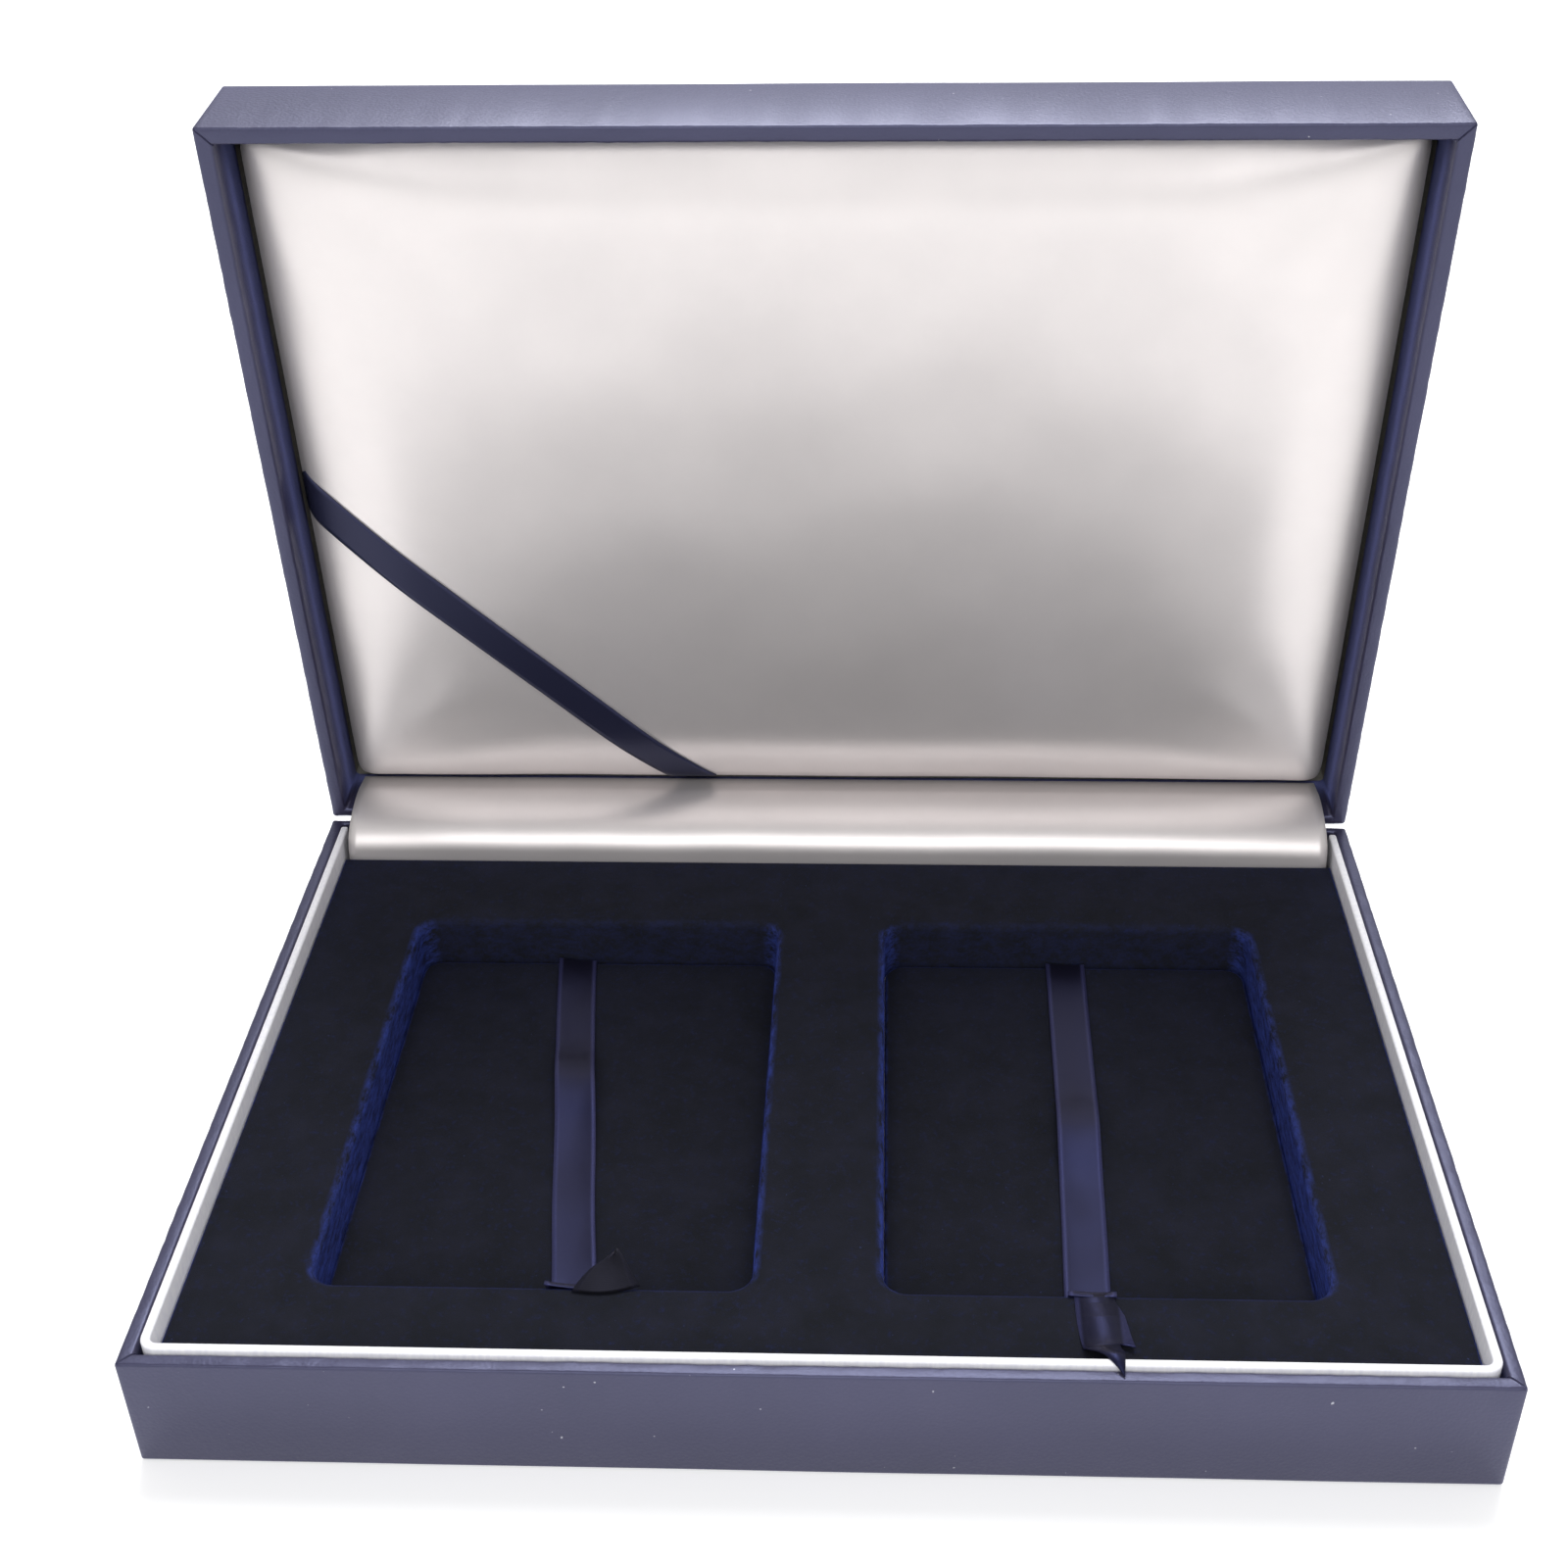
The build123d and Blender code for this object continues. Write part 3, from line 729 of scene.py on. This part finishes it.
def strip(line, width, columns, across, shape=None):
    """A flat strip along a line, with its UV map in millimetres. A shape moves its points."""
    lengths = [0.0]
    for last, point in zip(line, line[1:]):
        lengths.append(lengths[-1] + (point - last).length)
    rows = len(line) - 1
    bm = bmesh.new()
    bmesh.ops.create_grid(bm, x_segments=columns, y_segments=rows, size=0.5)
    uv = bm.loops.layers.uv.new("UVMap")
    for vert in bm.verts:
        row = round((vert.co.y + 0.5) * rows)
        share = vert.co.x + 0.5
        for loop in vert.link_loops:
            loop[uv].uv = (share * width / MM, lengths[row] / MM)
        place = line[row] + across * (share - 0.5) * width
        vert.co = place if shape is None else shape(place, share, lengths[row])
    return bm


def pull_ribbon(name, corners, turn, material):
    """A pull ribbon lying in a recess, its edges a little lifted."""
    line = smooth_line([Vector(c) * MM for c in corners])
    across = Vector((math.cos(turn), math.sin(turn), 0))

    def lifted(place, share, length):
        curl = RIBBON_CURL * (2 * share - 1) ** 2
        along = length / RIBBON_RIPPLE_LENGTH
        ripple = RIBBON_RIPPLE * noise.noise(Vector((share * 2, along, turn)))
        return place + Vector((0, 0, curl + ripple))

    bm = strip(line, RIBBON_WIDTH, 10, across, lifted)
    obj = finished(name, bm, material, smooth=60)
    thicken(obj, RIBBON_THICK, 0)
    return obj


def cut_outline(outline, step):
    """A flat face from the points of its outline, crossed by cuts along X so that it can bend."""
    bm = bmesh.new()
    bm.faces.new([bm.verts.new(Vector((x, y, 0)) * MM) for x, y in outline])
    low = min(v.co.y for v in bm.verts)
    high = max(v.co.y for v in bm.verts)
    for index in range(1, int((high - low) / step)):
        slice_across(bm, bm.faces[:], (0, low + index * step, 0), (0, 1, 0))
    uv = bm.loops.layers.uv.new("UVMap")
    left = min(v.co.x for v in bm.verts)
    for face in bm.faces:
        for loop in face.loops:
            loop[uv].uv = ((loop.vert.co.x - left) / MM, (loop.vert.co.y - low) / MM)
    return bm


def height_at(line, y):
    """The height of a line in the (y, z) plane where it passes a y."""
    for last, point in zip(line, line[1:]):
        if min(last.y, point.y) <= y <= max(last.y, point.y):
            share = (y - last.y) / (point.y - last.y) if point.y != last.y else 0
            return last.z + share * (point.z - last.z)
    return line[-1].z if abs(y - line[-1].y) < abs(y - line[0].y) else line[0].z


def trailing_end(material):
    """The right ribbon's cut end, over the platform, the collar and the rim."""
    front = -HALF_DEPTH / MM
    outline = [(x, front + y) for x, y in RIGHT_TAIL]
    line = smooth_line([Vector((0, front + y, z)) * MM for y, z in RIGHT_TAIL_HEIGHTS])
    bm = cut_outline(outline, TAIL_CUT_STEP)
    middle = sum(v.co.x for v in bm.verts) / len(bm.verts)
    for vert in bm.verts:
        ripple = TAIL_RIPPLE * noise.noise(vert.co / TAIL_RIPPLE_LENGTH)
        tilt = TAIL_TILT * (vert.co.x - middle)
        vert.co.z = height_at(line, vert.co.y) + ripple + tilt
    obj = finished("right_lift_ribbon_end", bm, material, smooth=60)
    thicken(obj, RIBBON_THICK, 1)
    return obj


def standing_fold(material):
    """The left ribbon's end, folded to a point that stands up at the recess's front edge."""
    foot = Vector(LEFT_FOLD_FOOT) * MM
    lean = Vector(LEFT_FOLD_REACH) * MM
    rows = 14
    line = [foot + lean * (row / rows) for row in range(rows + 1)]

    def narrowed(place, share, length):
        rise = length / lean.length
        span = (1 - rise) ** 0.8
        hollow = 0.9 * MM * math.sin(math.pi * share) * (1 - rise)
        middle = foot + lean * rise
        return Vector((
            middle.x + (place.x - middle.x) * span + 1.2 * MM * rise * rise,
            place.y - hollow,
            place.z + 0.4 * MM * math.sin(math.pi * rise),
        ))

    bm = strip(line, LEFT_FOLD_WIDTH, 10, Vector((1, 0.12, 0)), narrowed)
    bmesh.ops.remove_doubles(bm, verts=bm.verts, dist=MM / 50)
    obj = finished("left_lift_ribbon_fold", bm, material, smooth=60)
    thicken(obj, 2 * RIBBON_THICK, 0)
    return obj


# The satin


def swell(obj, cap, held_below):
    """Swell a padded piece with simulated cloth, with no point moved further than a cap."""
    start = [v.co.copy() for v in obj.data.vertices]
    held = obj.vertex_groups.new(name="held")
    held.add([v.index for v in obj.data.vertices if v.co.z < held_below], 1.0, "REPLACE")
    cloth = add(obj, "CLOTH").settings
    cloth.vertex_group_mass = "held"
    cloth.use_pressure = True
    cloth.uniform_pressure_force = PAD_PRESSURE
    cloth.effector_weights.gravity = 0
    scene = bpy.context.scene
    for step in range(1, SWELL_FRAMES + 1):
        scene.frame_set(step)
    bake(obj)
    scene.frame_set(1)
    obj.vertex_groups.clear()
    for vert, place in zip(obj.data.vertices, start):
        move = vert.co - place
        if move.length > cap:
            vert.co = place + move.normalized() * cap


def padded_panel(material):
    """The lid's foam panel under satin: a rounded slab, swollen and a little uneven."""
    bm = block(
        (-PAD_HALF_WIDTH, PAD_MIDDLE - PAD_HALF_DEPTH, PAD_SEAT),
        (PAD_HALF_WIDTH, PAD_MIDDLE + PAD_HALF_DEPTH, PAD_SHOULDER),
    )
    soften(bm, [e for e in bm.edges if upright(e)], PAD_ROUND / 2, 3)
    top = [e for e in sharp_edges(bm) if all(v.co.z > PAD_SHOULDER - MM / 10 for v in e.verts)]
    soften(bm, top, PAD_ROUND, 5)
    obj = finished("padded_satin_panel", bm, material, smooth=60)
    add(obj, "REMESH", mode="VOXEL", voxel_size=PAD_VOXEL)
    bake(obj)
    swell(obj, PAD_SWELL, PAD_EDGE)
    bm = bmesh.new()
    bm.from_mesh(obj.data)
    for vert in bm.verts:
        if vert.co.z > PAD_EDGE:
            vert.co.z += PAD_UNEVEN * noise.noise(vert.co / PAD_UNEVEN_LENGTH)
    top = [v for v in bm.verts if v.co.z > PAD_EDGE]
    for _ in range(PAD_SMOOTHINGS):
        bmesh.ops.smooth_vert(bm, verts=top, factor=0.5, use_axis_z=True)
    uv = bm.loops.layers.uv.new("UVMap")
    for face in bm.faces:
        for loop in face.loops:
            loop[uv].uv = (loop.vert.co.x / MM, loop.vert.co.y / MM)
    bm.to_mesh(obj.data)
    bm.free()
    add(obj, "SUBSURF", levels=1, render_levels=1)
    bake(obj)
    obj.data.shade_smooth()
    return obj


def certificate_ribbon(panel, material):
    """The ribbon laid slantwise over the panel and tucked in at both ends."""
    mesh = bmesh.new()
    mesh.from_mesh(panel.data)
    surface = BVHTree.FromBMesh(mesh)
    mesh.free()
    start = Vector(CERTIFICATE_START) * MM
    end = Vector(CERTIFICATE_END) * MM
    rows = 90
    line = [start.lerp(end, row / rows) for row in range(rows + 1)]
    across = (end - start).cross(Vector((0, 0, 1))).normalized()
    reach = Vector((PAD_HALF_WIDTH - CERTIFICATE_TUCK, PAD_HALF_DEPTH - CERTIFICATE_TUCK))

    def laid(place, share, length):
        x = min(max(place.x, -reach.x), reach.x)
        y = PAD_MIDDLE + min(max(place.y - PAD_MIDDLE, -reach.y), reach.y)
        hit = surface.ray_cast(Vector((x, y, 0)), Vector((0, 0, -1)))[0]
        return Vector((x, y, hit.z + CERTIFICATE_LIFT))

    bm = strip(line, CERTIFICATE_WIDTH, 8, across, laid)
    bmesh.ops.recalc_face_normals(bm, faces=bm.faces)
    obj = finished("certificate_band", bm, material, smooth=60)
    thicken(obj, CERTIFICATE_THICK, 0)
    return obj


def placed_in_lid(obj):
    """Move a finished piece from the lid tray to where the open lid stands."""
    obj.data.transform(LID_PLACE)
    obj.data.flip_normals()
    return obj


def hinge_strip(material):
    """The satin strip from behind the platform, rolled up and over the hinges to the panel."""
    line = smooth_line([Vector((0, y, z)) * MM for y, z in STRIP_ROUTE])
    half = strip_high.x

    def bulged(place, share, length):
        x = place.x / half
        free = math.sin(math.pi * min(max((length - STRIP_ROOT) / STRIP_FREE, 0), 1))
        ends = 1 - abs(x) ** 8
        wave = noise.noise(Vector((x * 2.3, 0, 1.7))) + 0.4 * noise.noise(Vector((x * 7.0, 3, 0)))
        pucker = 0.5 * math.cos(18 * abs(x)) * max(abs(x) - 0.82, 0) / 0.18
        out = (0.5 * ends + 0.35 * wave + 0.3 * pucker - 0.3) * free * MM
        return place + Vector((0, -0.75, 0.66)) * out

    bm = strip(line, 2 * half, 120, Vector((1, 0, 0)), bulged)
    obj = finished("satin_hinge_roll", bm, material, smooth=60)
    thicken(obj, STRIP_THICK, -1)
    return obj


def bowed_spring(name, x, material):
    """A flat spring with a foot on each back wall, bowed between them."""
    line = smooth_line([Vector((0, y, z)) * MM for y, z in SPRING_ROUTE])
    line = [point + Vector((x, 0, 0)) for point in line]
    obj = finished(name, strip(line, SPRING_WIDTH, 4, Vector((1, 0, 0))), material, smooth=60)
    thicken(obj, SPRING_THICK, 0, even=True)
    return obj


# The camera, the lamps and the floor


def camera():
    data = bpy.data.cameras.new("camera")
    data.lens = CAMERA_LENS
    data.sensor_width = 36
    data.shift_x, data.shift_y = CAMERA_SHIFT
    obj = bpy.data.objects.new("camera", data)
    aim = CAMERA_AIM.to_track_quat("-Z", "Y").to_matrix().to_4x4()
    obj.matrix_world = (
        Matrix.Translation(CAMERA_PLACE) @ aim @ Matrix.Rotation(CAMERA_ROLL, 4, "Z")
    )
    bpy.context.scene.collection.objects.link(obj)
    bpy.context.scene.camera = obj


def softbox(name, place, target, size, power):
    """A square lamp that looks at a target."""
    data = bpy.data.lights.new(name, "AREA")
    data.size = size
    data.energy = power
    obj = bpy.data.objects.new(name, data)
    place = Vector(place)
    aim = (Vector(target) - place).to_track_quat("-Z", "Y").to_matrix().to_4x4()
    obj.matrix_world = Matrix.Translation(place) @ aim
    bpy.context.scene.collection.objects.link(obj)


def world():
    """Even light all round, seen as white by the camera."""
    made = bpy.data.worlds.new("studio")
    bpy.context.scene.world = made
    made.use_nodes = True
    tree = made.node_tree
    shade = tree.nodes["Background"]
    shade.inputs["Color"].default_value = (1, 1, 1, 1)
    path = tree.nodes.new("ShaderNodeLightPath").outputs
    seen = tree.nodes.new("ShaderNodeMath")
    seen.operation = "MAXIMUM"
    tree.links.new(path["Is Camera Ray"], seen.inputs[0])
    tree.links.new(path["Is Transmission Ray"], seen.inputs[1])
    strength = tree.nodes.new("ShaderNodeMapRange")
    strength.inputs["To Min"].default_value = ROOM_LIGHT
    tree.links.new(seen.outputs[0], strength.inputs["Value"])
    tree.links.new(strength.outputs["Result"], shade.inputs["Strength"])


camera()
world()
softbox("overhead_softbox", (0.05, 0.56, 0.95), (0, 0.02, 0.05), 0.7, 12.5)
softbox("front_softbox", (0.0, -1.0, 0.9), (0, 0, 0.05), 1.0, 9.0)

floor_mesh = bmesh.new()
bmesh.ops.create_grid(floor_mesh, x_segments=1, y_segments=1, size=3.0)
studio_floor = finished("studio_floor", floor_mesh, backdrop())


# Finishes of the CAD pieces

leather = leatherette()
card = white_card()
pile = velvet()
silver = satin()
board = grey_board()
paper = lining_paper()
foam = open_foam()
plate = steel()
dark_ribbon = ribbon_satin(
    "pull_ribbon_satin", RIBBON_WIDTH,
    (0.006, 0.0055, 0.011), (0.030, 0.031, 0.085), (0.30, 0.35, 1.0),
)
# A shaded copy of the pull ribbon satin, with a darker selvedge and a dimmer glint: painted shade
# for the fold that stands up facing away from the light.
shaded_ribbon = ribbon_satin(
    "ribbon_painted_shade", LEFT_FOLD_WIDTH,
    (0.006, 0.006, 0.008), (0.012, 0.012, 0.02), (0.2, 0.2, 0.3),
)
pale_ribbon = ribbon_satin(
    "certificate_ribbon_satin", CERTIFICATE_WIDTH,
    (0.014, 0.015, 0.034), (0.022, 0.024, 0.055), (0.5, 0.52, 0.9),
)

NODE_FINISHES = {
    "board": board, "leatherette": leather, "underside_sheet": paper, "collar": card,
    "foam": foam, "core": foam, "velvet": pile, "floor_card": board, "pad_card": board,
    "certificate_ribbon": pale_ribbon, "pull_ribbon": dark_ribbon, "satin": silver, "leaf": plate,
    "pin": plate, "spring": plate, "rivets": plate, "strip": silver,
}
for node, obj in frame["nodes"].items():
    for word, finish in NODE_FINISHES.items():
        if word in node:
            obj.data.materials.clear()
            obj.data.materials.append(finish)


# The pieces of the base

base_wrap = wrapped_half(
    "base_wrap", BASE_HEIGHT, BASE_WALL, BASE_TURN_IN, True, BASE_PLACE, leather,
)
ride_for(base_wrap, "base", "leatherette", "base_leatherette")

ride_for(collar(card), "base", "collar", "base_collar")
ride_for(platform(pile), "base", "velvet", "insert_velvet")
for side in ("left", "right"):
    node = f"{side}_floor_velvet"
    ride_for(floor_pad(f"{side}_recess_floor", node, pile), "base", "velvet", node)

LIE = RECESS_FLOOR / MM + 0.15
LAND = VELVET_TOP / MM + 0.2
LEFT_ROUTE = [
    (-45.5, 37.1, 5), (-45.5, 37.1, LIE), (-45.5, 37.0, LIE), (-44.2, 24, LIE),
    (-42.9, 13, LIE + 0.1), (-42.0, 6, LIE + 1.9), (-41.3, 1, LIE + 2.1), (-40.2, -8, LIE + 0.2),
    (-38.4, -25, LIE), (-36.5, -38, LIE + 0.2), (-35.6, -47.1, LIE + 0.3), (-35.6, -47.2, LIE + 1),
    (-35.6, -47.4, LAND - 0.6), (-35.6, -47.9, LAND), (-35.6, -48.6, LAND),
]
RIGHT_ROUTE = [
    (41.5, 37.1, 5), (41.5, 37.1, LIE), (41.5, 37.0, LIE), (41.2, 20, LIE),
    (40.9, 4, LIE + 0.1), (40.6, -4, LIE + 1.8), (40.4, -9, LIE + 2.0), (40.2, -18, LIE + 0.2),
    (39.8, -30, LIE), (39.4, -38, LIE + 0.2), (39.1, -47.1, LIE + 0.3), (39.1, -47.2, LIE + 1),
    (39.0, -47.4, LAND - 0.6), (39.0, -47.9, LAND), (38.9, -48.8, LAND),
]
left_ribbon = pull_ribbon("left_lift_ribbon", LEFT_ROUTE, math.radians(-6), dark_ribbon)
ride_for(left_ribbon, "base", "ribbon", "left_pull_ribbon")
right_ribbon = pull_ribbon("right_lift_ribbon", RIGHT_ROUTE, math.radians(-1.5), dark_ribbon)
ride_for(right_ribbon, "base", "ribbon", "right_pull_ribbon")
# The standing fold wears the shaded copy of the ribbon satin, painted shade.
ride_for(standing_fold(shaded_ribbon), "base", "ribbon")
ride_for(trailing_end(dark_ribbon), "base", "ribbon")


# The pieces of the lid

lid_wrap = wrapped_half(
    "lid_wrap", LID_HEIGHT, LID_WALL, LID_TURN_IN, False, LID_PLACE, leather,
)
ride_for(lid_wrap, "lid", "leatherette", "lid_leatherette")

panel = padded_panel(silver)
band = certificate_ribbon(panel, pale_ribbon)
ride_for(placed_in_lid(panel), "lid", "satin", "lid_pad_satin", "lid_pad_foam")
ride_for(placed_in_lid(band), "lid", "certificate_ribbon", "certificate_ribbon")

roll = hinge_strip(silver)
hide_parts("hinge_satin_strip")
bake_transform(roll)

for side in ("left", "right"):
    low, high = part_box(f"{side}_hinge_spring")
    spring = bowed_spring(f"{side}_bowed_spring", (low.x + high.x) / 2, plate)
    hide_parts(f"{side}_hinge_spring")
    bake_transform(spring)


bpy.context.scene.view_settings.view_transform = "Standard"
